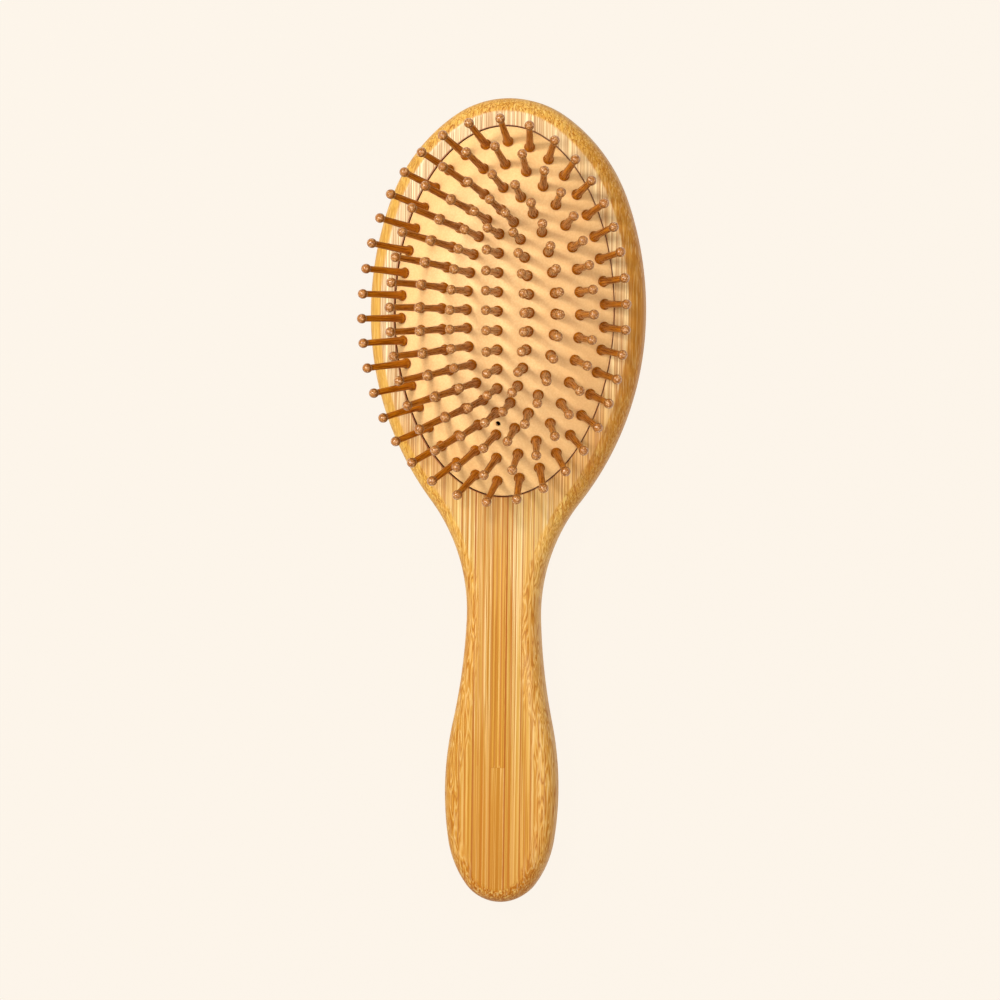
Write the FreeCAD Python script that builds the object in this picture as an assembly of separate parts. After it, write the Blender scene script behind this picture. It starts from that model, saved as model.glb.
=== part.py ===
# Oval paddle hair brush: a board of edge-glued bamboo strips, a domed rubber air cushion held by its
# flange in an undercut pocket, and 131 turned pins standing through the rubber.
# Units are millimetres. The brush lies on its flat back: +Z is the way the middle pin points,
# +Y runs from the handle to the head, X is the width. The origin is the bottom centre of the board.

import FreeCAD, Part
import math
import os

os.makedirs("parts", exist_ok=True)
V = FreeCAD.Vector

# ---------------------------------------------------------------- driving dimensions
BOARD_T = 12.0            # thickness of the board
FRONT_R = 4.6             # round-over along the front edge
BACK_R = 4.5              # round-over along the back edge
# right half of the board's outline: arcs that run into each other smoothly, from the top of the head to
# the end of the handle, as (radius, sweep in degrees); a minus radius is hollow
LENGTH = 240.0
OUTLINE = [
    (28.975039, 35.16462318), (51.747495, 34.65586531), (98.546599, 24.39986741), (91.120744, 33.57855116),
    (-54.490117, 39.99627260), (-179.610237, 9.89335360), (96.338556, 20.97926557), (30.929644, 26.82379602),
    (12.757426, 54.28765755),
]
# glue joints between neighbouring strips, across the width
STRIP_JOINTS = [-36.8, -32.4, -28.8, -24.2, -20.9, -17.2, -11.9, -7.7, -2.4, 2.0, 6.8, 10.0, 14.2, 18.3, 22.5, 26.1,
                30.4, 34.3, 38.4]
BUTT_STRIP = 10           # this strip is pieced from two lengths
BUTT_Y = -79.4            # where its two lengths meet

PAD_Y = 56.6              # centre of the cushion along the brush
OPEN_X, OPEN_Y = 33.4, 55.2     # half axes of the oval opening in the front
LIP_T = 3.0               # thickness of the lip over the groove
GROOVE_H = 2.6            # height of the undercut groove
GROOVE_D = 3.0            # how far the groove runs under the lip
FLOOR_Z = 3.6             # floor of the air chamber

CUSH_GAP = 0.3            # gap between rubber and wood all round
DOME_Z0 = 11.5            # height at which the dome leaves the opening
DOME_H = 9.6              # rise of the dome above that
DOME_P, DOME_Q = 2.66, 0.97     # flatness of the crown and steepness of the shoulder
RUBBER_T = 1.7            # rubber thickness, measured upright
SKIRT_T = 1.1             # thickness of the upright wall inside the opening
AIR_HOLE_D = 1.5
AIR_HOLE_Y = -33.3        # from the cushion's centre, on the centre line

# rings of pins: half width, half length, squareness, number of pins, and how far round the ring, clockwise as seen
# from the front, the first pin stands past the centre line
RINGS = [(30.6, 50.2, 1.95, 38, 0.95), (23.95, 43.4, 1.95, 32, 0.77), (17.1, 36.5, 1.86, 28, 0.60),
         (9.4, 29.9, 1.90, 24, 0.36)]
CENTRE_N, CENTRE_PITCH = 9, 5.69
ROW_PITCH = 4.2           # pins whose roots lie within this band across the brush share a row

BALL_R = 1.50             # ball end
PIN_L = 15.9              # from the middle of the shoulder to the middle of the ball
STEM_R_TOP = 0.95
STEM_R_BOT = 1.22
SHOULDER_R = 1.68
SHOULDER_H = 1.05
SHOULDER_Z = 0.45         # middle of the shoulder above the rubber
SEAT_GAP = 0.12           # under the shoulder and over the foot, room for the dome's curve
NECK_R = 1.05
HOLE_R = 1.10
FOOT_R = 1.70
FOOT_T = 0.80
LEAN_X, LEAN_Y = 1.3, 0.8  # largest hand-set lean of a pin off the dome's normal, degrees

CUSH_X, CUSH_Y = OPEN_X - CUSH_GAP, OPEN_Y - CUSH_GAP


# ---------------------------------------------------------------- helpers
def oval_prism(ax, ay, z0, z1):
    """An upright elliptical prism about the cushion's centre."""
    e = Part.Ellipse(V(0, PAD_Y, z0), max(ax, ay), min(ax, ay))
    edge = e.toShape()
    if ay > ax:
        edge.rotate(V(0, PAD_Y, z0), V(0, 0, 1), 90)
    return Part.Face(Part.Wire(edge)).extrude(V(0, 0, z1 - z0))


def dome_height(x, y):
    """Rise of the rubber's outer face above DOME_Z0 and its two slopes, from the cushion's centre."""
    r = math.hypot(x / CUSH_X, y / CUSH_Y)
    if r < 1e-9:
        return DOME_H, 0.0, 0.0
    u = 1.0 - r ** DOME_P
    z = DOME_H * u ** DOME_Q
    k = -DOME_H * DOME_Q * u ** (DOME_Q - 1.0) * DOME_P * r ** (DOME_P - 1.0) / r
    return z, k * x / CUSH_X ** 2, k * y / CUSH_Y ** 2


def dome_cap():
    """Solid cap under the rubber's outer face: a turned profile stretched along Y."""
    pts = []
    for i in range(25):
        r = math.sin(0.5 * math.pi * i / 24.0)
        pts.append(V(r * CUSH_X, 0, DOME_Z0 + DOME_H * max(0.0, 1.0 - r ** DOME_P) ** DOME_Q))
    crown = Part.BSplineCurve()
    crown.interpolate(Points=pts, InitialTangent=V(1, 0, 0), FinalTangent=pts[-1] - pts[-2])
    top = crown.toShape()
    side = Part.makeLine(pts[-1], V(0, 0, DOME_Z0))
    mast = Part.makeLine(V(0, 0, DOME_Z0), pts[0])
    cap = Part.Face(Part.Wire([top, side, mast])).revolve(V(0, 0, 0), V(0, 0, 1), 360)
    m = FreeCAD.Matrix()
    m.A22 = CUSH_Y / CUSH_X
    cap = cap.transformGeometry(m)
    cap.translate(V(0, PAD_Y, 0))
    return Part.Solid(cap) if cap.ShapeType != "Solid" else cap


def ring_points(ax, ay, n, count, lead):
    """Points at equal steps along a squared-off oval, the first one lead past the centre line at the head end."""
    steps = 4000
    path = []
    for i in range(steps + 1):
        t = 2 * math.pi * i / steps
        s, c = math.sin(t), math.cos(t)
        path.append((ax * math.copysign(abs(s) ** (2 / n), s), ay * math.copysign(abs(c) ** (2 / n), c)))
    run = [0.0]
    for i in range(steps):
        run.append(run[-1] + math.hypot(path[i + 1][0] - path[i][0], path[i + 1][1] - path[i][1]))
    out, j = [], 0
    for k in range(count):
        want = run[-1] * k / count + lead
        while j < steps and run[j + 1] < want:
            j += 1
        f = (want - run[j]) / max(run[j + 1] - run[j], 1e-12)
        out.append((path[j][0] + f * (path[j + 1][0] - path[j][0]), path[j][1] + f * (path[j + 1][1] - path[j][1])))
    return out


def unit(v):
    v = V(v)
    v.normalize()
    return v


def all_pins():
    """Every pin as (root point on the rubber, direction, row number)."""
    spots, level = [], []
    for ax, ay, n, count, lead in RINGS:
        spots += ring_points(ax, ay, n, count, lead)
        level += [y for x, y in ring_points(ax, ay, n, count, 0.0)]     # rows are told from the even ring
    spots += [(0.0, CENTRE_PITCH * (k - (CENTRE_N - 1) / 2.0)) for k in range(CENTRE_N)]
    level += [y for x, y in spots[-CENTRE_N:]]
    pins = []
    for i, (x, y) in enumerate(spots):
        z, gx, gy = dome_height(x, y)
        lx = math.radians(LEAN_X * math.sin(12.99 * i + 0.7))
        ly = math.radians(LEAN_Y * math.sin(7.23 * i + 1.9))
        nrm = unit(V(-gx, -gy, 1.0))
        d = unit(nrm + V(lx, ly, 0))
        pins.append((V(x, PAD_Y + y, DOME_Z0 + z), d, int(round(level[i] / ROW_PITCH))))
    return pins


def pin_solid(root, d):
    """One turned pin: foot, neck, rounded shoulder, tapered stem and ball, on the axis d through root."""
    s0, s1 = SHOULDER_Z - SHOULDER_H / 2.0, SHOULDER_Z + SHOULDER_H / 2.0
    s0 = max(s0, SEAT_GAP)
    zb = SHOULDER_Z + PIN_L
    zf1 = -(RUBBER_T + SEAT_GAP)
    zf0 = zf1 - FOOT_T
    zj = zb - math.sqrt(BALL_R ** 2 - STEM_R_TOP ** 2)
    mid = (s0 + s1) / 2.0
    p = [V(0, 0, zf0), V(FOOT_R - 0.3, 0, zf0), V(FOOT_R, 0, zf0 + 0.3), V(FOOT_R, 0, zf1), V(NECK_R, 0, zf1),
         V(NECK_R, 0, s0), V(SHOULDER_R - 0.15, 0, s0)]
    edges = [Part.makeLine(p[i], p[i + 1]) for i in range(len(p) - 1)]
    bulge = Part.Arc(V(SHOULDER_R - 0.15, 0, s0), V(SHOULDER_R, 0, mid), V(STEM_R_BOT + 0.12, 0, s1)).toShape()
    edges.append(bulge)
    edges.append(Part.makeLine(V(STEM_R_BOT + 0.12, 0, s1), V(STEM_R_BOT, 0, s1 + 0.5)))
    edges.append(Part.makeLine(V(STEM_R_BOT, 0, s1 + 0.5), V(STEM_R_TOP, 0, zj)))
    edges.append(Part.Arc(V(STEM_R_TOP, 0, zj), V(BALL_R, 0, zb), V(0, 0, zb + BALL_R)).toShape())
    edges.append(Part.makeLine(V(0, 0, zb + BALL_R), V(0, 0, zf0)))
    solid = Part.Face(Part.Wire(edges)).revolve(V(0, 0, 0), V(0, 0, 1), 360)
    solid = Part.Solid(solid) if solid.ShapeType != "Solid" else solid
    turn = FreeCAD.Rotation(V(0, 0, 1), d)
    solid.Placement = FreeCAD.Placement(root, turn)
    return solid


def rod(root, d, r, a, b):
    return Part.makeCylinder(r, b - a, root + d * a, d)


def save(name, shape):
    shape.exportStep("parts/%s.step" % name)


# ---------------------------------------------------------------- the board, before it is cut into strips
def outline_arcs():
    """The board's outline as arcs through three points each, counter-clockwise and closed on the centre line."""
    x, y, h = 0.0, LENGTH / 2.0, 0.0
    arcs = []
    for i, (radius, sweep) in enumerate(OUTLINE):
        side, r, turn = math.copysign(1.0, radius), abs(radius), math.radians(sweep)
        cx, cy = x - side * r * math.sin(h), y - side * r * math.cos(h)
        pts = [V(x, y, 0)]
        for f in (0.5, 1.0):
            a = h + side * turn * f
            pts.append(V(cx + side * r * math.sin(a), cy + side * r * math.cos(a), 0))
        if i == len(OUTLINE) - 1:
            pts[2] = V(0, -LENGTH / 2.0, 0)
        x, y, h = pts[2].x, pts[2].y, h + side * turn
        arcs.append(pts)
    left = [Part.Arc(*[V(-p.x, p.y, 0) for p in a]).toShape() for a in arcs]
    right = [Part.Arc(a[2], a[1], a[0]).toShape() for a in reversed(arcs)]
    return left + right


def board_blank():
    blank = Part.Face(Part.Wire(outline_arcs())).extrude(V(0, 0, BOARD_T))
    front = [e for e in blank.Edges if abs(e.BoundBox.ZMin - BOARD_T) < 1e-4 and abs(e.BoundBox.ZMax - BOARD_T) < 1e-4]
    blank = blank.makeFillet(FRONT_R, front)
    back = [e for e in blank.Edges if abs(e.BoundBox.ZMax) < 1e-4 and abs(e.BoundBox.ZMin) < 1e-4]
    blank = blank.makeFillet(BACK_R, back)
    lip_z = BOARD_T - LIP_T
    pocket = oval_prism(OPEN_X, OPEN_Y, FLOOR_Z, BOARD_T + 5)
    groove = oval_prism(OPEN_X + GROOVE_D, OPEN_Y + GROOVE_D, lip_z - GROOVE_H, lip_z)
    return blank.cut(pocket).cut(groove)


def build_board():
    blank = board_blank()
    cuts = [-60.0] + STRIP_JOINTS + [60.0]
    total = 0.0
    for i in range(len(cuts) - 1):
        x0, x1 = cuts[i], cuts[i + 1]
        spans = [(-150.0, 150.0, "")]
        if i + 1 == BUTT_STRIP:
            spans = [(BUTT_Y, 150.0, ""), (-150.0, BUTT_Y, "_handle_end")]
        for y0, y1, tail in spans:
            box = Part.makeBox(x1 - x0, y1 - y0, 40, V(x0, y0, -10))
            pieces = sorted(blank.common(box).Solids, key=lambda s: -s.CenterOfMass.y)
            names = [tail] if len(pieces) == 1 else ["_head", "_handle"]
            for piece, end in zip(pieces, names):
                total += piece.Volume
                save("bamboo_strip_%02d%s" % (i + 1, end), piece)
    print("board volume", round(blank.Volume, 2), "strips together", round(total, 2))


# ---------------------------------------------------------------- the rubber cushion
def build_cushion(pins):
    lip_z = BOARD_T - LIP_T
    foot_z = lip_z - GROOVE_H + 0.1
    cap = dome_cap()
    skirt = oval_prism(CUSH_X, CUSH_Y, foot_z, DOME_Z0)
    flange = oval_prism(OPEN_X + GROOVE_D - CUSH_GAP, OPEN_Y + GROOVE_D - CUSH_GAP, foot_z, lip_z - 0.1)
    body = cap.fuse(skirt).fuse(flange).removeSplitter()
    low = cap.copy()
    low.translate(V(0, 0, -RUBBER_T))
    under = low.fuse(oval_prism(CUSH_X, CUSH_Y, foot_z - 1, DOME_Z0 - RUBBER_T))
    hollow = under.common(oval_prism(CUSH_X - SKIRT_T, CUSH_Y - SKIRT_T, foot_z - 1, 60))
    body = body.cut(hollow)
    z, gx, gy = dome_height(0.0, AIR_HOLE_Y)
    holes = [rod(root, d, HOLE_R, -6, 4) for root, d, row in pins]
    holes.append(rod(V(0, PAD_Y + AIR_HOLE_Y, DOME_Z0 + z), unit(V(-gx, -gy, 1)), AIR_HOLE_D / 2.0, -6, 4))
    body = body.cut(holes)
    print("cushion", body.ShapeType, len(body.Solids), body.isValid(), round(body.Volume, 1))
    save("rubber_cushion", body.Solids[0])


# ---------------------------------------------------------------- the pins, row by row
def build_pins(pins):
    rows = {}
    for root, d, row in pins:
        rows.setdefault(row, []).append(pin_solid(root, d))
    order = sorted(rows, reverse=True)
    for k, row in enumerate(order):
        save("pin_row_%02d" % (k + 1), Part.makeCompound(rows[row]))
    print("pins", len(pins), "rows", len(order), [len(rows[r]) for r in order])


def main():
    pins = all_pins()
    build_board()
    build_cushion(pins)
    build_pins(pins)


main()
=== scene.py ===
"""Looks of the paddle brush: bamboo strips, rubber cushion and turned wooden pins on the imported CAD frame."""

import math
import random

import bmesh
import bpy
import numpy as np
from mathutils import Matrix, Vector


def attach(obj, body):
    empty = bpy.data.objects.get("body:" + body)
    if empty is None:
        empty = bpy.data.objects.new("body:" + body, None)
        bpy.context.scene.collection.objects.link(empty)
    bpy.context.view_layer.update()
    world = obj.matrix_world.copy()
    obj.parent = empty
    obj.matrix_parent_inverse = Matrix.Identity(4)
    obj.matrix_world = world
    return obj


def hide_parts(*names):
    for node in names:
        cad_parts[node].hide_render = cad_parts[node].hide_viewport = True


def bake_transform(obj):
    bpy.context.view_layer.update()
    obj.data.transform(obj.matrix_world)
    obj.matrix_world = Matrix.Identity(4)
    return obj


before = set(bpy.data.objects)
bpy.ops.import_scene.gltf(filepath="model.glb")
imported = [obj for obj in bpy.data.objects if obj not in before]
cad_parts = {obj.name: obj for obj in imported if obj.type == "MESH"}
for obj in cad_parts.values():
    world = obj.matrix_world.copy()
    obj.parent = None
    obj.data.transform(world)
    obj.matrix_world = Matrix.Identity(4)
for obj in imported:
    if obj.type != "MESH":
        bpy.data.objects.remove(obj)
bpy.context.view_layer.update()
MM = 0.001

# ---------------------------------------------------------------- driving dimensions, millimetres, as in the CAD source
BOARD_T = 12.0
BUTT_Y = -79.4
STRIP_JOINTS = [-36.8, -32.4, -28.8, -24.2, -20.9, -17.2, -11.9, -7.7, -2.4, 2.0, 6.8, 10.0, 14.2, 18.3, 22.5, 26.1,
                30.4, 34.3, 38.4]
PAD_Y = 56.6
OPEN_X, OPEN_Y = 33.4, 55.2
LIP_T, GROOVE_H, GROOVE_D = 3.0, 2.6, 3.0
CUSH_GAP = 0.3
CUSH_X, CUSH_Y = OPEN_X - CUSH_GAP, OPEN_Y - CUSH_GAP
DOME_Z0, DOME_H, DOME_P, DOME_Q = 11.5, 9.6, 2.66, 0.97
RUBBER_T, SKIRT_T = 1.7, 1.1
AIR_HOLE_D, AIR_HOLE_Y = 1.5, -33.3
RINGS = ((30.6, 50.2, 1.95, 38, 0.95), (23.95, 43.4, 1.95, 32, 0.77), (17.1, 36.5, 1.86, 28, 0.60), (9.4, 29.9, 1.90, 24, 0.36))
CENTRE_N, CENTRE_PITCH = 9, 5.69
LEAN_X, LEAN_Y = 1.3, 0.8
ROW_PITCH = 4.2
BALL_R, PIN_L = 1.5, 15.9
STEM_R_TOP, STEM_R_BOT = 0.95, 1.22
SHOULDER_R, SHOULDER_H, SHOULDER_Z = 1.68, 1.05, 0.45
SEAT_GAP, NECK_R, FOOT_R, FOOT_T = 0.12, 1.05, 1.70, 0.80
HOLE_R = 1.10


# ---------------------------------------------------------------- camera first
def turn(rx, ry, rz):
    rx, ry, rz = (math.radians(a) for a in (rx, ry, rz))
    cx, sx, cy, sy, cz, sz = math.cos(rx), math.sin(rx), math.cos(ry), math.sin(ry), math.cos(rz), math.sin(rz)
    mx = Matrix(((1, 0, 0), (0, cx, -sx), (0, sx, cx)))
    my = Matrix(((cy, 0, sy), (0, 1, 0), (-sy, 0, cy)))
    mz = Matrix(((cz, -sz, 0), (sz, cz, 0), (0, 0, 1)))
    return mz @ mx @ my


CAM_D = 1500.0
CAM_R = turn(2.1, -11.5, -0.75)
cam_data = bpy.data.cameras.new("camera")
cam_data.sensor_width = 36.0
cam_data.sensor_fit = "HORIZONTAL"
cam_data.lens = CAM_D / (240.0 / 804.0) * 0.036 * 0.9955
cam_data.clip_start, cam_data.clip_end = 0.05, 20.0
cam = bpy.data.objects.new("camera", cam_data)
cam.matrix_world = Matrix.Translation((CAM_R.transposed() @ Vector((-2.82, 0.10, CAM_D))) * MM) @ CAM_R.transposed().to_4x4()
bpy.context.scene.collection.objects.link(cam)
bpy.context.scene.camera = cam


# ---------------------------------------------------------------- small help for node materials
def lin(r, g, b):
    """Linear colour from 0-255 display values."""
    def one(v):
        v /= 255.0
        return v / 12.92 if v <= 0.04045 else ((v + 0.055) / 1.055) ** 2.4
    return (one(r), one(g), one(b), 1.0)


class Shader:
    """A Principled material with a few shorthand calls for its node tree."""

    def __init__(self, name):
        self.mat = bpy.data.materials.new(name)
        self.mat.use_nodes = True
        self.t = self.mat.node_tree
        self.t.nodes.clear()
        self.out = self.t.nodes.new("ShaderNodeOutputMaterial")
        self.bsdf = self.t.nodes.new("ShaderNodeBsdfPrincipled")
        self.t.links.new(self.bsdf.outputs[0], self.out.inputs[0])

    def put(self, socket, value):
        if isinstance(value, bpy.types.NodeSocket):
            self.t.links.new(value, socket)
        elif value is not None:
            socket.default_value = value

    def node(self, kind, **props):
        n = self.t.nodes.new(kind)
        for k, v in props.items():
            setattr(n, k, v)
        return n

    def math(self, op, a, b=None, c=None, clamp=False):
        n = self.node("ShaderNodeMath", operation=op, use_clamp=clamp)
        for s, v in zip(n.inputs, (a, b, c)):
            self.put(s, v)
        return n.outputs[0]

    def vmath(self, op, a, b=None, scale=None):
        n = self.node("ShaderNodeVectorMath", operation=op)
        self.put(n.inputs[0], a)
        self.put(n.inputs[1], b)
        if scale is not None:
            self.put(n.inputs["Scale"], scale)
        return n.outputs["Value"] if op in ("DOT_PRODUCT", "LENGTH", "DISTANCE") else n.outputs["Vector"]

    def noise(self, vector, scale=1.0, detail=2.0, rough=0.5, distortion=0.0, w=None):
        n = self.node("ShaderNodeTexNoise", noise_dimensions="3D" if w is None else "4D")
        self.put(n.inputs["Vector"], vector)
        if w is not None:
            self.put(n.inputs["W"], w)
        n.inputs["Scale"].default_value = scale
        n.inputs["Detail"].default_value = detail
        n.inputs["Roughness"].default_value = rough
        n.inputs["Distortion"].default_value = distortion
        return n.outputs[0]

    def voronoi(self, vector, scale=1.0, feature="F1", rand=1.0, out="Distance"):
        n = self.node("ShaderNodeTexVoronoi", feature=feature)
        self.put(n.inputs["Vector"], vector)
        n.inputs["Scale"].default_value = scale
        n.inputs["Randomness"].default_value = rand
        return n.outputs[out]

    def remap(self, v, a, b, c=0.0, d=1.0, smooth=True):
        n = self.node("ShaderNodeMapRange", interpolation_type="SMOOTHSTEP" if smooth else "LINEAR", clamp=True)
        for s, x in zip(n.inputs, (v, a, b, c, d)):
            self.put(s, x)
        return n.outputs[0]

    def mix(self, fac, a, b, how="MIX"):
        n = self.node("ShaderNodeMix", data_type="RGBA", blend_type=how, clamp_factor=True)
        self.put(n.inputs[0], fac)
        self.put(n.inputs[6], a)
        self.put(n.inputs[7], b)
        return n.outputs[2]

    def split(self, v):
        n = self.node("ShaderNodeSeparateXYZ")
        self.put(n.inputs[0], v)
        return n.outputs

    def join(self, x, y, z):
        n = self.node("ShaderNodeCombineXYZ")
        for s, v in zip(n.inputs, (x, y, z)):
            self.put(s, v)
        return n.outputs[0]

    def ramp(self, v, stops):
        n = self.node("ShaderNodeValToRGB")
        self.put(n.inputs[0], v)
        e = n.color_ramp.elements
        while len(e) > 1:
            e.remove(e[-1])
        e[0].position, e[0].color = stops[0]
        for p, c in stops[1:]:
            e.new(p).color = c
        return n.outputs[0]

    def attr(self, name, out="Fac"):
        n = self.node("ShaderNodeAttribute", attribute_name=name)
        return n.outputs[out]

    def bump(self, height, distance, strength=1.0):
        n = self.node("ShaderNodeBump")
        n.inputs["Strength"].default_value = strength
        n.inputs["Distance"].default_value = distance
        self.put(n.inputs["Height"], height)
        self.t.links.new(n.outputs[0], self.bsdf.inputs["Normal"])

    def finish(self, color, rough, **fixed):
        self.put(self.bsdf.inputs["Base Color"], color)
        self.put(self.bsdf.inputs["Roughness"], rough)
        for k, v in fixed.items():
            self.bsdf.inputs[k.replace("_", " ")].default_value = v
        return self.mat


# ---------------------------------------------------------------- bamboo
# Base tone of each strip from the left edge of the board to the right, display values.
PALE, CREAM, HONEY, AMBER, ROSE = (236, 184, 100), (237, 187, 110), (230, 170, 80), (223, 158, 66), (227, 167, 90)
STRIP_TONES = [HONEY, PALE, HONEY, PALE, HONEY, ROSE, PALE, (237, 184, 100), ROSE, (217, 148, 55), CREAM, (236, 180, 96),
               (241, 190, 112), ROSE, HONEY, PALE, HONEY, PALE, HONEY, AMBER]
# How dark each glue line is drawn, 0 to 1, left to right.
GLUE = [0.35, 0.4, 0.5, 0.4, 0.55, 0.7, 0.85, 0.95, 0.6, 1.0, 0.8, 0.7, 0.45, 0.6, 0.4, 0.6, 0.5, 0.4, 0.4]
# Dark fibre lines inside the strips that run the whole length: place across the board, strength, and where each starts.
LONG_LINES = [(-10.1, 0.55, -200), (-4.9, 0.45, -200), (-1.0, 0.35, -79.4), (0.5, 0.60, -79.4), (3.5, 0.45, -200),
              (8.2, 0.40, -200), (12.1, 0.30, -200), (-6.2, 0.30, -79.4), (4.6, 0.25, -200), (-14.6, 0.35, -200)]


# Half width of the board below the head in fiftieths, against the way from the butt end to the middle of the board.
HANDLE_HALF = [(0.0, 0.0), (0.012, 0.11), (0.033, 0.18), (0.066, 0.245), (0.10, 0.285), (0.15, 0.32), (0.20, 0.337),
               (0.27, 0.339), (0.35, 0.325), (0.45, 0.285), (0.55, 0.243), (0.65, 0.222), (0.75, 0.226), (0.84, 0.262),
               (0.90, 0.315), (0.95, 0.385), (1.0, 0.47)]


# How much of each linear colour the wood keeps along the board: place along the board, red, green, blue.
GRADE = [(-120.0, 0.80, 0.80, 0.74), (-91.0, 0.850, 0.890, 0.88), (-63.0, 0.865, 1.010, 1.19), (-31.0, 0.865, 1.045, 1.34),
         (-8.0, 0.905, 1.18, 1.66), (-1.0, 0.94, 1.16, 1.46), (12.0, 0.97, 1.01, 1.02), (120.0, 0.95, 0.99, 1.02)]


def bamboo(index, tone, seed, left, right, glue_left, glue_right, butt=None):
    """One strip of bamboo: long fibre bundles along Y in a solid texture, so that they show as streaks on the flat
    face and as flecks where the round edges cut through them."""
    s = Shader("bamboo_%s" % index)
    co = s.node("ShaderNodeTexCoord").outputs["Object"]
    p = s.vmath("SCALE", co, scale=1000.0)
    x, y, z = s.split(p)
    rnd = random.Random(seed)
    ox, oz = rnd.uniform(-50, 50), rnd.uniform(-50, 50)

    def at(fx, fy, fz, shift=0.0):
        return s.join(s.math("MULTIPLY_ADD", xs, fx, shift), s.math("MULTIPLY", y, fy), s.math("MULTIPLY", zs, fz))

    # fibres wander a little from side to side along their length
    wander = s.noise(s.join(seed * 3.7, s.math("MULTIPLY", y, 0.012), 0.0), detail=1.0)
    wander2 = s.noise(s.join(seed * 5.1, s.math("MULTIPLY", y, 0.3), s.math("MULTIPLY", x, 0.4)), detail=1.0)
    xs = s.math("ADD", s.math("ADD", x, ox), s.math("MULTIPLY_ADD", wander, 1.0, s.math("MULTIPLY", wander2, 0.16)))
    zs = s.math("ADD", s.math("ADD", z, oz), s.math("MULTIPLY", wander, 1.5))
    lines = s.noise(at(1.25, 0.005, 1.0), detail=2.0, rough=0.5)
    fine = s.noise(at(3.0, 0.010, 2.4, 13.0), detail=3.0, rough=0.6)
    broad = s.noise(at(0.42, 0.006, 0.4, 29.0), detail=2.0)
    tint = s.noise(at(0.30, 0.03, 0.3, 41.0), detail=2.0)
    thin = s.noise(at(2.3, 0.004, 1.6, 57.0), detail=1.0)
    thin2 = s.noise(at(3.1, 0.004, 2.0, 83.0), detail=0.0)
    bundles = s.voronoi(at(1.5, 0.06, 1.5))
    light = lin(min(255, tone[0] * 1.03 + 6), min(255, tone[1] * 1.05 + 6), min(255, tone[2] * 1.12 + 6))
    mid = lin(tone[0] * 0.955, tone[1] * 0.925, tone[2] * 0.82)
    deep = lin(tone[0] * 0.85, tone[1] * 0.755, tone[2] * 0.46)
    rosy = lin(tone[0] * 0.985, tone[1] * 0.95, tone[2] * 1.14)
    col = s.mix(s.remap(lines, 0.44, 0.56), mid, light)
    col = s.mix(s.math("MULTIPLY", s.remap(broad, 0.50, 0.66), 0.40), col, deep)
    col = s.mix(s.math("MULTIPLY", s.remap(tint, 0.45, 0.68), 0.55), col, rosy)
    col = s.mix(s.math("MULTIPLY", s.remap(fine, 0.48, 0.56), 0.72), col, deep)
    col = s.mix(s.math("MULTIPLY", s.remap(fine, 0.45, 0.36), 0.50), col, light)
    col = s.mix(s.math("MULTIPLY", s.remap(thin, 0.55, 0.60), 0.90), col, lin(178, 104, 16))
    col = s.mix(s.math("MULTIPLY", s.remap(thin2, 0.60, 0.66), 0.75), col, lin(192, 120, 30))
    col = s.mix(s.math("MULTIPLY", s.remap(thin2, 0.38, 0.31), 0.75), col, lin(246, 206, 142))
    col = s.mix(s.math("MULTIPLY", s.remap(bundles, 0.24, 0.10), 0.40), col, deep)
    # how squarely the surface cuts across the fibre bundles
    nx, ny, nz = s.split(s.node("ShaderNodeNewGeometry").outputs["Normal"])
    face = s.remap(s.math("ABSOLUTE", nz), 0.972, 0.998)
    cut = s.math("SUBTRACT", 1.0, face)
    handle = s.remap(y, 0.0, -90.0)
    # half width of the handle against y, to place the flanks where the board begins to round off
    half = s.ramp(s.remap(y, -120.0, 0.0, 0.0, 1.0, smooth=False),
                  [(p, (w, w, w, 1.0)) for p, w in HANDLE_HALF])
    half = s.math("MULTIPLY", half, 50.0)
    inset = s.math("SUBTRACT", half, s.math("ABSOLUTE", s.math("SUBTRACT", x, 0.0)))
    inset = s.math("ADD", inset, s.math("MULTIPLY", s.math("SUBTRACT", s.noise(at(0.15, 0.05, 0.1, 3.0), detail=2.0), 0.5), 5.0))
    flank = s.math("MULTIPLY", s.remap(inset, 6.4, 4.2), s.remap(y, -8.0, -30.0))
    flank = s.math("MULTIPLY", flank, s.remap(s.math("ABSOLUTE", x), 5.0, 8.0))
    cut = s.math("MAXIMUM", cut, s.math("MULTIPLY", flank, 0.85))
    # flat face: a painted sheen, the pale reflection of the lamp painted on the varnish round the cushion, stronger on
    # the left; honey along the handle
    painted_sheen = s.math("MULTIPLY", s.math("MULTIPLY", s.remap(y, -6.0, 50.0), face), s.remap(z, 1.0, 4.0, 0.45, 1.0))
    painted_sheen_colour = s.mix(s.remap(x, -34.0, 36.0), lin(252, 239, 200), lin(248, 224, 174))
    hair = s.noise(at(5.6, 0.014, 3.4, 101.0), detail=1.0, rough=0.5)
    painted_sheen_colour = s.mix(s.math("MULTIPLY", s.remap(fine, 0.48, 0.56), 0.60), painted_sheen_colour, lin(214, 172, 120))
    painted_sheen_colour = s.mix(s.math("MULTIPLY", s.remap(hair, 0.53, 0.59), 0.85), painted_sheen_colour, lin(164, 112, 68))
    painted_sheen_colour = s.mix(s.math("MULTIPLY", s.remap(thin2, 0.57, 0.64), 0.45), painted_sheen_colour, lin(200, 150, 98))
    painted_sheen_by_x = s.math("MULTIPLY", painted_sheen, s.remap(x, -10.0, 34.0, 0.86, 0.68))
    col = s.mix(painted_sheen_by_x, col, painted_sheen_colour)
    tan = s.math("MULTIPLY", s.math("MULTIPLY", s.remap(y, -22.0, -4.0), s.remap(y, 30.0, 4.0)), face)
    col = s.mix(s.math("MULTIPLY", tan, 0.25), col, lin(206, 152, 88))
    col = s.mix(s.math("MULTIPLY", s.math("MULTIPLY", s.remap(hair, 0.54, 0.62), tan), 0.40), col, lin(176, 120, 62))
    col = s.mix(s.math("MULTIPLY", handle, 0.38), col, lin(196, 138, 34))
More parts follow.
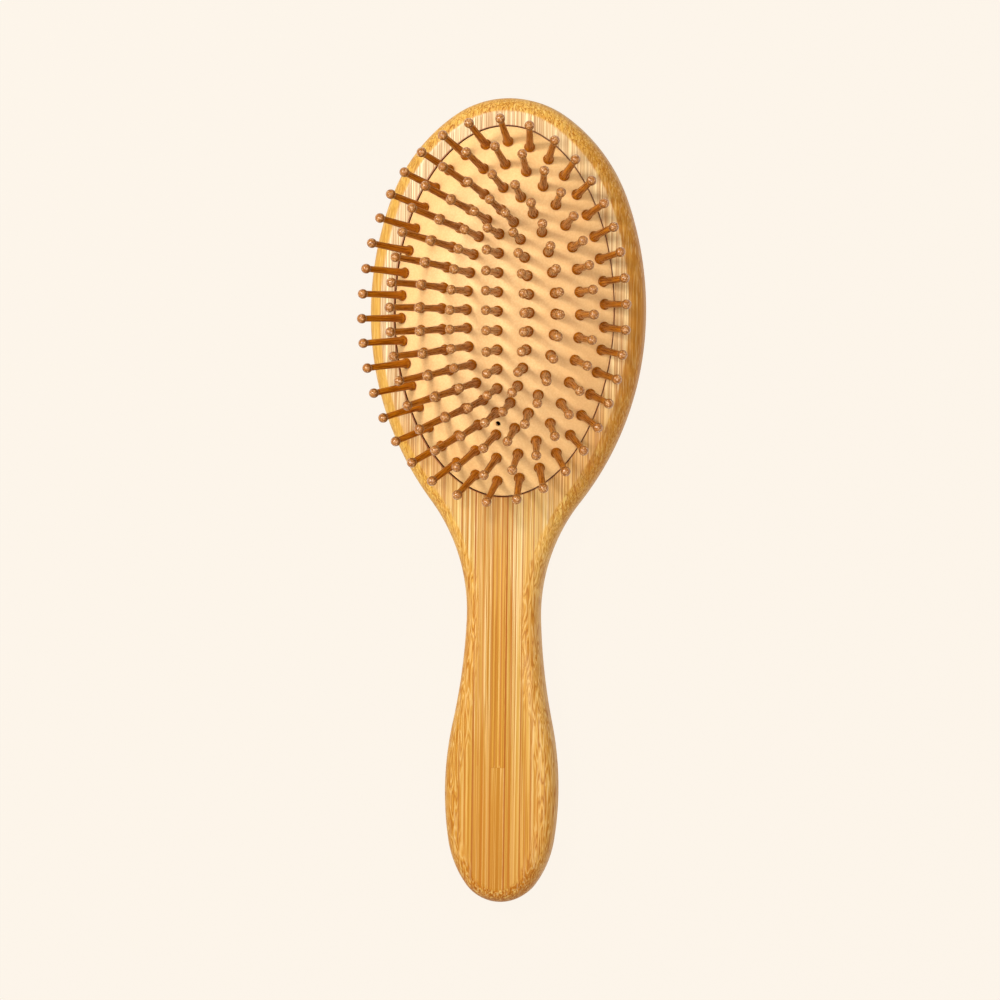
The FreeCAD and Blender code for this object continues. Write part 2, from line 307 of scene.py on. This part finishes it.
    # round edges: golden ground with squiggly fleck ends of the bundles
    ridge = s.math("ABSOLUTE", s.math("SUBTRACT", s.noise(at(0.95, 0.11, 1.25, 7.0), detail=2.0, rough=0.55, distortion=0.25), 0.5))
    layers = s.noise(at(0.42, 0.055, 0.75, 67.0), detail=1.5, rough=0.5)
    rings_ = s.math("ABSOLUTE", s.math("SUBTRACT", s.math("FRACT", s.math("MULTIPLY", layers, 9.0)), 0.5))
    lens = s.math("MULTIPLY", s.remap(rings_, 0.30, 0.46), s.remap(y, 4.0, -24.0))
    soft = s.math("MULTIPLY", s.remap(rings_, 0.20, 0.04), s.remap(y, 4.0, -24.0))
    side_on = s.math("SQRT", s.math("MAXIMUM", s.math("SUBTRACT", 1.0, s.math("MULTIPLY", nz, nz)), 0.0004))
    across = s.remap(s.math("DIVIDE", s.math("ABSOLUTE", ny), side_on), 0.16, 0.70, 0.16, 1.0)
    squiggle = s.math("MULTIPLY", s.remap(ridge, 0.045, 0.012), across)
    spots_ = s.math("MULTIPLY", s.remap(s.noise(at(1.5, 0.34, 1.9, 19.0), detail=2.0), 0.55, 0.64), across)
    shine = s.math("MULTIPLY", s.remap(s.noise(at(1.2, 0.28, 1.4, 31.0), detail=2.0), 0.55, 0.66), across)
    # painted shade: the round edges of the right-hand strips darkened and deepened to orange, away from the lamp on the
    # left, darker still from the middle of the head down
    right_painted_shade = 1.0 - 0.24 * max(0.0, min(1.0, (int(str(index).split("_")[0]) - 14) / 5.0))
    low = s.remap(y, 60.0, 15.0)
    ground = s.mix(s.remap(y, 10.0, -50.0), lin(225 * right_painted_shade, 180 * right_painted_shade ** 1.7, 84 * right_painted_shade ** 4), lin(212 * right_painted_shade ** 0.5, 148 * right_painted_shade ** 0.5, 50))
    ground = s.mix(s.math("MULTIPLY", low, 0.55 if right_painted_shade < 0.99 else 0.0), ground, lin(170, 108, 26))
    upright = s.remap(s.math("ABSOLUTE", nz), 0.80, 0.35)
    col = s.mix(s.math("MULTIPLY", cut, s.math("MULTIPLY_ADD", upright, -0.22, 0.62)), col, ground)
    calm = s.math("MULTIPLY_ADD", upright, -0.62, 1.0)
    squiggle, spots_, shine = (s.math("MULTIPLY", v, calm) for v in (squiggle, spots_, shine))
    streak = s.noise(at(1.7, 0.035, 2.2, 113.0), detail=3.0, rough=0.6)
    col = s.mix(s.math("MULTIPLY", s.math("MULTIPLY", s.remap(streak, 0.50, 0.60), cut), s.math("MULTIPLY_ADD", across, -0.38, 0.46)), col, lin(184, 118, 38))
    tip = s.math("MULTIPLY", s.remap(y, -104.0, -117.0), cut)
    col = s.mix(s.math("MULTIPLY", tip, 0.78), col, lin(194, 116, 8))
    col = s.mix(s.math("MULTIPLY", s.math("MULTIPLY", shine, cut), 0.55), col, lin(248, 214, 122))
    col = s.mix(s.math("MULTIPLY", s.math("MULTIPLY", spots_, cut), 0.60), col, lin(196, 124, 34))
    col = s.mix(s.math("MULTIPLY", s.math("MULTIPLY", squiggle, cut), 0.80), col, lin(160, 88, 12))
    col = s.mix(s.math("MULTIPLY", s.math("MULTIPLY", lens, cut), 0.72), col, lin(172, 100, 24))
    col = s.mix(s.math("MULTIPLY", s.math("MULTIPLY", soft, cut), 0.40), col, lin(246, 210, 138))
    pale_f = s.remap(s.noise(at(1.3, 0.05, 1.3, 91.0), detail=2.0), 0.56, 0.64)
    col = s.mix(s.math("MULTIPLY", s.math("MULTIPLY", pale_f, cut), s.math("MULTIPLY", handle, 0.3)), col, lin(238, 204, 150))
    # the board grows paler from the end of the handle up to the cushion
    grade = s.ramp(s.remap(y, -120.0, 120.0, 0.0, 1.0, smooth=False),
                   [((v + 120.0) / 240.0, (r / 2, g / 2, b / 2, 1.0)) for v, r, g, b in GRADE])
    grade = s.mix(s.math("MULTIPLY", cut, s.remap(y, -30.0, -90.0, 0.85, 0.30)), grade, (0.462, 0.470, 0.480, 1.0))
    col = s.vmath("SCALE", s.vmath("MULTIPLY", col, grade), scale=2.0)
    # thin orange-brown glue lines
    glue = lin(158, 86, 8)
    for edge, amount in ((left, glue_left), (right, glue_right)):
        if edge is not None:
            d = s.math("ABSOLUTE", s.math("SUBTRACT", x, edge))
            d = s.math("ADD", d, s.math("MULTIPLY", s.math("SUBTRACT", wander2, 0.5), 0.12))
            line = s.math("MULTIPLY", s.remap(d, 0.36, 0.12), amount)
            line = s.math("MULTIPLY", line, s.remap(broad, 0.30, 0.55, 0.5, 1.0))
            line = s.math("MULTIPLY", line, s.math("SUBTRACT", 1.0, s.math("MULTIPLY", cut, 0.6)))
            line = s.math("MULTIPLY", line, s.math("SUBTRACT", 1.0, s.math("MULTIPLY", painted_sheen, 0.5)))
            col = s.mix(line, col, glue)
    lo, hi = (-99 if left is None else left), (99 if right is None else right)
    for place, amount, start in LONG_LINES:
        if lo < place < hi:
            d = s.math("ABSOLUTE", s.math("ADD", s.math("SUBTRACT", x, place), s.math("MULTIPLY_ADD", wander, 0.5, -0.25)))
            line = s.math("MULTIPLY", s.remap(d, 0.34, 0.10), min(0.9, amount * 1.3))
            line = s.math("MULTIPLY", line, s.math("SUBTRACT", 1.0, s.math("MULTIPLY", s.math("MAXIMUM", cut, painted_sheen), 0.7)))
            if start > -150:
                line = s.math("MULTIPLY", line, s.remap(y, start, start + 1.0))
            col = s.mix(line, col, lin(172, 98, 14))
    if butt is not None:
        d = s.math("ABSOLUTE", s.math("SUBTRACT", y, butt))
        col = s.mix(s.math("MULTIPLY", s.remap(d, 0.22, 0.05), 0.25), col, glue)
    # painted shade of the gap round the opening: the wood at its edge and in the pocket darkened brown, wider on the
    # left; none on the back of the board
    q = s.vmath("LENGTH", s.join(s.math("MULTIPLY", x, 1.0 / OPEN_X), s.math("MULTIPLY", s.math("SUBTRACT", y, PAD_Y), 1.0 / OPEN_Y), 0.0))
    q = s.math("SUBTRACT", q, s.remap(x, -8.0, -26.0, 0.0, 0.005))
    col = s.mix(s.math("MULTIPLY", s.remap(q, 1.006, 1.001, 0.0, 0.70), s.remap(z, 2.0, 3.5)), col, lin(136, 56, 12))
    rough = s.math("MULTIPLY_ADD", fine, 0.16, 0.38)
    height = s.math("SUBTRACT", s.math("MULTIPLY", fine, 0.5), s.math("MULTIPLY", s.math("MULTIPLY", squiggle, cut), 0.5))
    s.bump(height, 0.00006, 0.5)
    return s.finish(col, rough, Coat_Weight=0.08, Coat_Roughness=0.22, Specular_IOR_Level=0.17)


edges = [None] + STRIP_JOINTS + [None]
for name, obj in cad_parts.items():
    if not name.startswith("bamboo_strip_"):
        continue
    k = int(name.split("_")[2])
    tail = name.split("_")[3:]
    g = [0.0] + GLUE + [0.0]
    tone, seed, butt = STRIP_TONES[k - 1], k * 7 + 1, None
    if k == 10:
        butt = BUTT_Y
        if tail:
            tone, seed = (229, 170, 92), 171
    mat = bamboo("_".join([str(k)] + tail), tone, seed, edges[k - 1], edges[k], g[k - 1], g[k], butt)
    if obj.material_slots:
        for slot in obj.material_slots:
            slot.material = mat
    else:
        obj.data.materials.append(mat)


# ---------------------------------------------------------------- rubber cushion
def dome(x, y):
    """Height of the rubber's outer face and its slopes, from the cushion's centre, mm."""
    r = math.hypot(x / CUSH_X, y / CUSH_Y)
    if r < 1e-9:
        return DOME_Z0 + DOME_H, 0.0, 0.0
    if r >= 1.0:
        return DOME_Z0, 0.0, 0.0
    u = 1.0 - r ** DOME_P
    z = DOME_H * u ** DOME_Q
    k = -DOME_H * DOME_Q * u ** (DOME_Q - 1.0) * DOME_P * r ** (DOME_P - 1.0) / r
    return DOME_Z0 + z, k * x / CUSH_X ** 2, k * y / CUSH_Y ** 2


def ring_points(ax, ay, n, count, lead):
    steps = 4000
    path = []
    for i in range(steps + 1):
        t = 2 * math.pi * i / steps
        s, c = math.sin(t), math.cos(t)
        path.append((ax * math.copysign(abs(s) ** (2 / n), s), ay * math.copysign(abs(c) ** (2 / n), c)))
    run = [0.0]
    for i in range(steps):
        run.append(run[-1] + math.hypot(path[i + 1][0] - path[i][0], path[i + 1][1] - path[i][1]))
    out, j = [], 0
    for k in range(count):
        want = run[-1] * k / count + lead
        while j < steps and run[j + 1] < want:
            j += 1
        f = (want - run[j]) / max(run[j + 1] - run[j], 1e-12)
        out.append((path[j][0] + f * (path[j + 1][0] - path[j][0]), path[j][1] + f * (path[j + 1][1] - path[j][1])))
    return out


spots, level = [], []
for ax, ay, n, count, lead in RINGS:
    spots += ring_points(ax, ay, n, count, lead)
    level += [y for x, y in ring_points(ax, ay, n, count, 0.0)]
spots += [(0.0, CENTRE_PITCH * (k - (CENTRE_N - 1) / 2.0)) for k in range(CENTRE_N)]
level += [y for x, y in spots[-CENTRE_N:]]
pins = []                                   # root, direction, row number, index
for i, (x, y) in enumerate(spots):
    z, gx, gy = dome(x, y)
    lx = math.radians(LEAN_X * math.sin(12.99 * i + 0.7))
    ly = math.radians(LEAN_Y * math.sin(7.23 * i + 1.9))
    nrm = Vector((-gx, -gy, 1.0)).normalized()
    d = (nrm + Vector((lx, ly, 0))).normalized()
    pins.append((Vector((x, PAD_Y + y, z)), d, int(round(level[i] / ROW_PITCH)), i))


def cushion_mesh():
    """The rubber shell as one closed skin: domed outer face pulled in a little at every pin, skirt, flange, inner face."""
    spots_np = np.array(spots)

    def sag(x, y):
        d2 = ((spots_np - (x, y)) ** 2).sum(1)
        return -0.15 * np.exp(-d2 / 3.6).sum() + 0.03 * np.exp(-d2 / 14.0).sum()

    lip_z = BOARD_T - LIP_T
    foot_z = lip_z - GROOVE_H + 0.1
    around = 300
    verts, rings = [], []

    def ring(ax, ay, z):
        start = len(verts)
        for j in range(around):
            t = 2 * math.pi * j / around
            x, y = ax * math.sin(t), ay * math.cos(t)
            verts.append((x, PAD_Y + y, z(x, y) if callable(z) else z))
        rings.append(start)

    outer = [math.sin(0.5 * math.pi * k / 78.0) for k in range(2, 78)]
    outer = [0.5 * v + 0.5 * (k / 78.0) for k, v in zip(range(2, 78), outer)]
    verts.append((0.0, PAD_Y, dome(0, 0)[0] + sag(0, 0)))
    for r in outer:
        ring(r * CUSH_X, r * CUSH_Y, lambda x, y: dome(x, y)[0] + sag(x, y))
    roll = 0.22
    ring(CUSH_X - 0.06, CUSH_Y - 0.06, DOME_Z0 + 0.1)
    ring(CUSH_X, CUSH_Y, DOME_Z0 - roll)
    for z in (10.6, 9.8, lip_z - 0.12):
        ring(CUSH_X, CUSH_Y, z)
    fx, fy = OPEN_X + GROOVE_D - CUSH_GAP, OPEN_Y + GROOVE_D - CUSH_GAP
    ring(CUSH_X + 0.3, CUSH_Y + 0.3, lip_z - 0.1)
    ring(fx - 0.3, fy - 0.3, lip_z - 0.1)
    ring(fx, fy, lip_z - 0.4)
    ring(fx, fy, foot_z + 0.3)
    ring(fx - 0.3, fy - 0.3, foot_z)
    ix, iy = CUSH_X - SKIRT_T, CUSH_Y - SKIRT_T
    ring(ix, iy, foot_z)
    for z in (7.5, 8.5, DOME_Z0 - RUBBER_T - 0.2):
        ring(ix, iy, z)
    inner = [k / 40.0 for k in range(39, 1, -1)]
    for r in inner:
        ring(r * ix, r * iy, lambda x, y: dome(x, y)[0] - RUBBER_T)
    last = len(verts)
    verts.append((0.0, PAD_Y, dome(0, 0)[0] - RUBBER_T))
    faces = []
    for j in range(around):
        faces.append((0, rings[0] + (j + 1) % around, rings[0] + j))
    for a, b in zip(rings[:-1], rings[1:]):
        for j in range(around):
            k = (j + 1) % around
            faces.append((a + j, a + k, b + k, b + j))
    for j in range(around):
        faces.append((last, rings[-1] + j, rings[-1] + (j + 1) % around))
    mesh = bpy.data.meshes.new("cushion_rubber")
    mesh.from_pydata([Vector(v) * MM for v in verts], [], faces)
    mesh.update()
    bm = bmesh.new()
    bm.from_mesh(mesh)
    bmesh.ops.recalc_face_normals(bm, faces=bm.faces)
    bm.to_mesh(mesh)
    bm.free()
    return mesh


def cutters_mesh():
    """Rods that open the rubber at every pin and at the air hole."""
    bm = bmesh.new()
    z, gx, gy = dome(0.0, AIR_HOLE_Y)
    jobs = [(root, d, HOLE_R) for root, d, row, i in pins]
    jobs.append((Vector((0, PAD_Y + AIR_HOLE_Y, z)), Vector((-gx, -gy, 1)).normalized(), AIR_HOLE_D / 2))
    for root, d, r in jobs:
        m = Matrix.Translation((root - d * 1.0) * MM) @ d.to_track_quat("Z", "Y").to_matrix().to_4x4()
        bmesh.ops.create_cone(bm, cap_ends=True, segments=20 if r == HOLE_R else 36, radius1=r * MM, radius2=r * MM,
                              depth=7.0 * MM, matrix=m)
    mesh = bpy.data.meshes.new("cutters")
    bm.to_mesh(mesh)
    bm.free()
    return mesh


def apply_modifiers(obj):
    dg = bpy.context.evaluated_depsgraph_get()
    mesh = bpy.data.meshes.new_from_object(obj.evaluated_get(dg))
    obj.modifiers.clear()
    obj.data = mesh
    return mesh


cushion = bpy.data.objects.new("cushion_membrane", cushion_mesh())
bpy.context.scene.collection.objects.link(cushion)
cutters = bpy.data.objects.new("cutters", cutters_mesh())
bpy.context.scene.collection.objects.link(cutters)
mod = cushion.modifiers.new("holes", "BOOLEAN")
mod.operation, mod.object, mod.solver = "DIFFERENCE", cutters, "EXACT"
apply_modifiers(cushion)
bpy.data.objects.remove(cutters)
for poly in cushion.data.polygons:
    poly.use_smooth = True
bpy.context.view_layer.update()


def rubber():
    """Peach rubber: matt, very finely pebbled, the top of the dome a little paler as painted light and its right side
    darker as painted shade.
    """
    s = Shader("rubber_peach")
    co = s.node("ShaderNodeTexCoord").outputs["Object"]
    p = s.vmath("SCALE", co, scale=1000.0)
    x, y, z = s.split(p)
    cloud = s.noise(p, scale=0.055, detail=3.0, rough=0.55)
    grain = s.noise(p, scale=2.6, detail=3.0, rough=0.65)
    weave = s.voronoi(p, scale=1.6)
    speck = s.voronoi(p, scale=0.55, feature="F1")
    col = s.mix(s.remap(cloud, 0.35, 0.65), lin(251, 204, 138), lin(252, 210, 148))
    # painted light: the top of the dome a little paler
    top = s.remap(z, 14.0, 21.0)
    col = s.mix(s.math("MULTIPLY", top, 0.35), col, lin(253, 216, 158))
    # painted shade: the right side of the dome darker and pinker, away from the lamp on the left
    side = s.remap(x, 4.0, 30.0)
    col = s.mix(s.math("MULTIPLY", side, 0.28), col, lin(240, 188, 132))
    col = s.mix(s.math("MULTIPLY", s.remap(grain, 0.40, 0.62), 0.20), col, lin(236, 188, 120))
    col = s.mix(s.math("MULTIPLY", s.remap(speck, 0.10, 0.04), 0.35), col, lin(226, 172, 108))
    col = s.mix(s.math("MULTIPLY", s.remap(weave, 0.42, 0.62), 0.26), col, lin(232, 180, 112))
    col = s.mix(s.math("MULTIPLY", s.remap(weave, 0.22, 0.08), 0.22), col, lin(255, 226, 176))
    # painted shade: the skirt down in the gap by the wood darkened red-brown
    col = s.mix(s.remap(z, 11.7, 10.9, 0.0, 0.85), col, lin(168, 70, 28))
    rough = s.remap(grain, 0.3, 0.7, 0.52, 0.66)
    s.bump(s.math("ADD", grain, s.math("MULTIPLY", weave, 0.6)), 0.00005, 0.55)
    return s.finish(col, rough, Specular_IOR_Level=0.35, Sheen_Weight=0.12, Sheen_Roughness=0.5,
                    Subsurface_Weight=0.0)


cushion.data.materials.clear()
cushion.data.materials.append(rubber())
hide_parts("rubber_cushion")
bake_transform(cushion)


# ---------------------------------------------------------------- turned pins
def pin_profile():
    """Radius against distance along the axis from the rubber's outer face, and the shape of the whole lathe cut."""
    s0 = SHOULDER_Z - SHOULDER_H / 2.0
    s0 = max(s0, SEAT_GAP)
    s1 = SHOULDER_Z + SHOULDER_H / 2.0
    zb = SHOULDER_Z + PIN_L
    zf1 = -(RUBBER_T + SEAT_GAP)
    zf0 = zf1 - FOOT_T
    zj = zb - math.sqrt(BALL_R ** 2 - STEM_R_TOP ** 2)
    pts = [(0.0, zf0), (FOOT_R - 0.3, zf0), (FOOT_R - 0.08, zf0 + 0.08), (FOOT_R, zf0 + 0.3), (FOOT_R, zf1 - 0.05),
           (FOOT_R - 0.1, zf1), (NECK_R, zf1), (NECK_R, -0.15)]
    low = -0.06
    pts += [(NECK_R + 0.15, low), (SHOULDER_R - 0.30, low + 0.03)]
    for a in range(-5, 6):                  # round shoulder
        t = math.radians(a * 15)
        mid, half = (low + s1) / 2.0, (s1 - low) / 2.0
        pts.append((SHOULDER_R - 0.42 + 0.42 * math.cos(t), mid + half * math.sin(t)))
    pts += [(STEM_R_BOT + 0.10, s1 + 0.15), (STEM_R_BOT + 0.02, s1 + 0.45)]
    for k in range(1, 10):                  # stem, a hair slimmer at mid length
        f = k / 10.0
        r = STEM_R_BOT + (STEM_R_TOP - STEM_R_BOT) * f - 0.045 * math.sin(math.pi * f)
        pts.append((r, s1 + 0.5 + (zj - 0.5 - s1 - 0.5) * f))
    pts += [(STEM_R_TOP + 0.01, zj - 0.25), (STEM_R_TOP + 0.04, zj)]
    a0 = math.acos(min(1.0, (zb - zj) / BALL_R))
    for k in range(1, 11):
        a = a0 + (math.pi - a0) * k / 11.0
        pts.append((BALL_R * math.sin(a), zb - BALL_R * math.cos(a)))
    pts.append((0.0, zb + BALL_R))
    return pts, zb


PROFILE, BALL_Z = pin_profile()
SEG = 20


def row_mesh(name, members):
    verts, faces, tone, along, local = [], [], [], [], []
    for root, d, row, i in members:
        rnd = random.Random(1000 + i)
        q = d.to_track_quat("Z", "Y").to_matrix()
        spin = rnd.uniform(0, 2 * math.pi)
        fat = 1.0 + rnd.uniform(-0.02, 0.0)
        bend_a, bend = rnd.uniform(0, 2 * math.pi), rnd.uniform(0.0, 0.10)
        oval = rnd.uniform(0.0, 0.02)
        base = len(verts)
        t_val = rnd.random()
        off = (rnd.uniform(-40, 40), rnd.uniform(-40, 40), rnd.uniform(-40, 40))
        first = None
        for k, (r, s) in enumerate(PROFILE):
            f = max(0.0, min(1.0, s / BALL_Z))
            dx, dy = (bend * math.sin(math.pi * f) * math.cos(bend_a), bend * math.sin(math.pi * f) * math.sin(bend_a))
            n = 1 if r == 0.0 else SEG
            for j in range(n):
                a = spin + 2 * math.pi * j / SEG
                rr = r * fat * (1.0 - oval * (0.5 + 0.5 * math.cos(2 * (a - bend_a)))) if s > 0.2 else r
                v = root + q @ Vector((rr * math.cos(a) + dx, rr * math.sin(a) + dy, s))
                verts.append(v * MM)
                tone.append(t_val)
                along.append(s / (BALL_Z + BALL_R))
                local.append((rr * math.cos(a) + off[0], rr * math.sin(a) + off[1], s + off[2]))
        starts, at = [], base
        for r, s in PROFILE:
            starts.append((at, r))
            at += 1 if r == 0.0 else SEG
        for (a0, ra), (b0, rb) in zip(starts[:-1], starts[1:]):
            for j in range(SEG):
                k2 = (j + 1) % SEG
                if ra == 0.0:
                    faces.append((a0, b0 + k2, b0 + j))
                elif rb == 0.0:
                    faces.append((a0 + j, a0 + k2, b0))
                else:
                    faces.append((a0 + j, a0 + k2, b0 + k2, b0 + j))
    mesh = bpy.data.meshes.new(name)
    mesh.from_pydata(verts, [], faces)
    mesh.update()
    for label, values in (("pin_tone", tone), ("pin_along", along)):
        att = mesh.attributes.new(label, "FLOAT", "POINT")
        att.data.foreach_set("value", np.array(values, np.float32))
    att = mesh.attributes.new("pin_local", "FLOAT_VECTOR", "POINT")
    att.data.foreach_set("vector", np.array(local, np.float32).ravel())
    mesh.polygons.foreach_set("use_smooth", [True] * len(mesh.polygons))
    return mesh


def pin_wood():
    """Turned and varnished pin wood: grain along the pin, dark at the shoulder, a paler rubbed ball with end grain, and
    painted shade on the ball's sides and under it.
    """
    s = Shader("pin_wood")
    tone = s.attr("pin_tone")
    along = s.attr("pin_along")
    loc = s.attr("pin_local", "Vector")
    x, y, z = s.split(loc)
    grain = s.noise(s.join(s.math("MULTIPLY", x, 2.4), s.math("MULTIPLY", y, 2.4), s.math("MULTIPLY", z, 0.16)), detail=3.0, rough=0.6)
    pores = s.voronoi(s.join(s.math("MULTIPLY", x, 3.2), s.math("MULTIPLY", y, 3.2), s.math("MULTIPLY", z, 0.9)))
    col = s.mix(s.remap(grain, 0.35, 0.65), lin(132, 66, 0), lin(196, 120, 10))
    col = s.mix(s.math("MULTIPLY", tone, 0.45), col, lin(168, 96, 4))
    shoulder = s.remap(along, 0.13, 0.05)
    col = s.mix(s.math("MULTIPLY", shoulder, 0.45), col, lin(134, 74, 4))
    ball = s.remap(along, 0.845, 0.875)
    mottle = s.noise(s.join(s.math("MULTIPLY", x, 1.9), s.math("MULTIPLY", y, 1.9), s.math("MULTIPLY", z, 1.5)), detail=3.0, rough=0.7)
    ball_col = s.mix(s.remap(grain, 0.38, 0.62), lin(150, 90, 30), lin(190, 130, 66))
    ball_col = s.mix(s.math("MULTIPLY", s.remap(mottle, 0.51, 0.60), 0.78), ball_col, lin(104, 56, 12))
    ball_col = s.mix(s.math("MULTIPLY", tone, 0.40), ball_col, lin(168, 104, 44))
    ends = s.voronoi(s.join(s.math("MULTIPLY", x, 1.7), s.math("MULTIPLY", y, 1.7), s.math("MULTIPLY", z, 1.2)))
    ball_col = s.mix(s.math("MULTIPLY", s.remap(ends, 0.40, 0.22), 0.62), ball_col, lin(232, 190, 140))
    # painted shade: the ball darkened from just below its tip down to the stem, for its shaded sides and underside
    ball_col = s.mix(s.remap(along, 0.965, 0.915, 0.0, 0.80), ball_col, lin(108, 56, 6))
    col = s.mix(ball, col, ball_col)
    # painted shade: a dark band round the joint of stem and ball, under the ball
    painted_under_ball_shade = s.math("MULTIPLY", s.remap(along, 0.80, 0.86), s.remap(along, 0.90, 0.87))
    col = s.mix(s.math("MULTIPLY", painted_under_ball_shade, 0.45), col, lin(116, 60, 4))
    col = s.mix(s.math("MULTIPLY", s.remap(pores, 0.22, 0.08), 0.55), col, lin(112, 62, 26))
    rough = s.math("ADD", s.math("MULTIPLY", grain, 0.16), 0.20)
    s.bump(s.math("SUBTRACT", s.math("MULTIPLY", grain, 0.5), s.math("MULTIPLY", s.remap(pores, 0.22, 0.08), 0.5)), 0.00005, 0.6)
    s.put(s.bsdf.inputs["Coat Weight"], s.math("MULTIPLY_ADD", ball, 0.86, 0.02))
    return s.finish(col, rough, Coat_Roughness=0.10, Specular_IOR_Level=0.15)


pin_mat = pin_wood()
rows = {}
for pin in pins:
    rows.setdefault(pin[2], []).append(pin)
for k, row in enumerate(sorted(rows, reverse=True)):
    tag = "%02d" % (k + 1)
    mesh = row_mesh("pins_%s" % tag, rows[row])
    mesh.materials.append(pin_mat)
    obj = bpy.data.objects.new("turned_pins_%s" % tag, mesh)
    bpy.context.scene.collection.objects.link(obj)
    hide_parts("pin_row_%s" % tag)
    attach(obj, "row_%s" % tag)


# ---------------------------------------------------------------- floor, light and world
def floor():
    size = 3.0
    mesh = bpy.data.meshes.new("floor")
    mesh.from_pydata([(-size, -size, 0), (size, -size, 0), (size, size, 0), (-size, size, 0)], [], [(0, 1, 2, 3)])
    obj = bpy.data.objects.new("floor", mesh)
    obj.location.z = -0.0004
    s = Shader("floor_cream")
    grain = s.noise(s.node("ShaderNodeTexCoord").outputs["Object"], scale=6.0, detail=2.0)
    s.finish(s.mix(grain, lin(24, 23, 22), lin(26, 25, 24)), 0.9, Specular_IOR_Level=0.0)
    s.bsdf.inputs["Emission Color"].default_value = lin(253, 245, 234)
    s.bsdf.inputs["Emission Strength"].default_value = 0.985
    mesh.materials.append(s.mat)
    bpy.context.scene.collection.objects.link(obj)


def softbox(name, direction, distance, size, power, color=(1, 1, 1), target=(0, 0.03, 0.01)):
    data = bpy.data.lights.new(name, "AREA")
    data.shape, data.size, data.size_y = "RECTANGLE", size[0], size[1]
    data.energy, data.color = power, color
    obj = bpy.data.objects.new(name, data)
    d = Vector(direction).normalized()
    obj.location = Vector(target) + d * distance
    obj.rotation_mode = "QUATERNION"
    obj.rotation_quaternion = d.to_track_quat("Z", "Y")
    bpy.context.scene.collection.objects.link(obj)
    return obj


floor()
softbox("key", (-0.46, 0.24, 0.86), 0.9, (0.30, 0.30), 5.0, (1.0, 0.955, 0.87))
softbox("fill", (0.55, -0.25, 0.9), 1.4, (0.9, 0.9), 3.7, (1.0, 0.94, 0.86))
softbox("top", (0.12, 0.05, 1.0), 1.5, (0.8, 0.8), 6.3, (1.0, 0.95, 0.87))
softbox("glint", (-0.34, 0.34, 0.86), 0.9, (0.09, 0.09), 1.7, (1.0, 0.96, 0.90))
world = bpy.data.worlds.new("studio")
world.use_nodes = True
world.node_tree.nodes["Background"].inputs[0].default_value = (1.0, 0.925, 0.80, 1.0)
world.node_tree.nodes["Background"].inputs[1].default_value = 0.43
bpy.context.scene.world = world
bpy.context.scene.view_settings.view_transform = "Standard"
bpy.context.scene.view_settings.look = "None"
